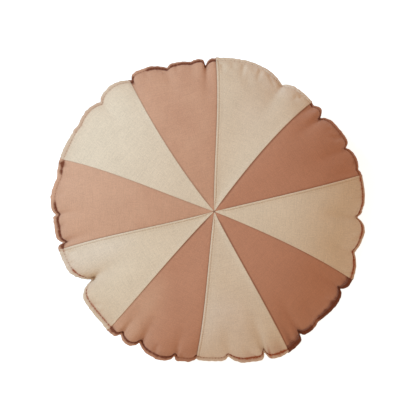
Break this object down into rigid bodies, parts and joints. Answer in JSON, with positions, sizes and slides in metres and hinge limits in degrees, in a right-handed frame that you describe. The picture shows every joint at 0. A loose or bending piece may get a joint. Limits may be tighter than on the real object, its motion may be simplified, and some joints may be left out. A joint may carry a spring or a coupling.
{
  "type": "patchwork cushion",
  "caption": "Round filled cushion with a face of alternating wedges that meet near its middle, a stitched lip round its rim and uneven gathers.",
  "frame": {"origin": "under the middle of the cushion's outline, on the surface that its back rests on", "axes": "+Z up, out of the pieced face; seen from above with +Y up, the cushion stands as in the picture"},
  "size_m": [0.45, 0.4362, 0.1435],
  "materials": {
    "cream_linen": "plain woven, matt",
    "rose_linen": "plain woven, matt",
    "cream_thread": "twisted sewing thread",
    "rose_thread": "twisted sewing thread"
  },
  "bodies": {
    "root": {"cushion": "cream_linen"}
  },
  "joints": []
}
